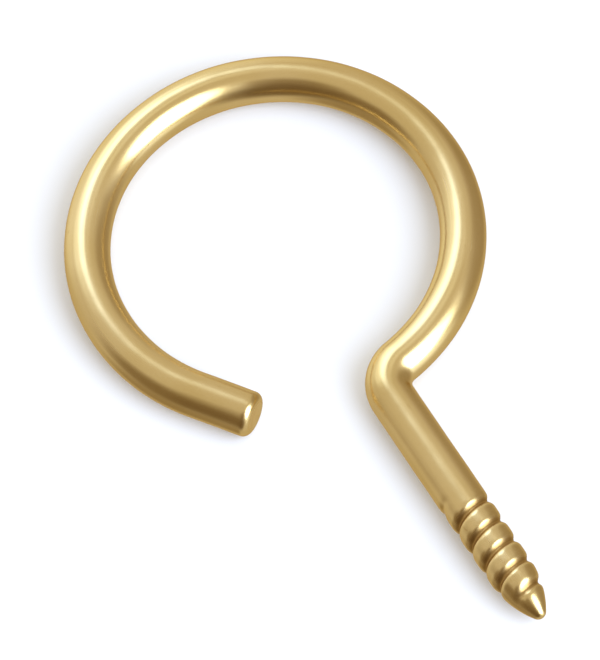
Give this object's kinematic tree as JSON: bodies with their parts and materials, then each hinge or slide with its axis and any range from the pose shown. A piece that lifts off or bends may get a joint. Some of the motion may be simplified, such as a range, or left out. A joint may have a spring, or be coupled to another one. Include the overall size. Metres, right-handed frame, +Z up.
{
  "type": "flyer hook",
  "caption": "Open round hook bent from one length of round brass wire, turned back at the neck into a straight pointed shank with a right-hand wood-screw thread.",
  "frame": {"origin": "on the surface that the hook lies on, under the middle of its box", "axes": "+Z up out of the ring's plane, +Y from the screw's point towards the top of the ring, +X towards the side of the ring that runs into the neck"},
  "size_m": [0.0144, 0.0242, 0.0016],
  "materials": {
    "brass_wire": "satin, drawn wire"
  },
  "bodies": {
    "root": {"hook": "brass_wire"}
  },
  "joints": []
}
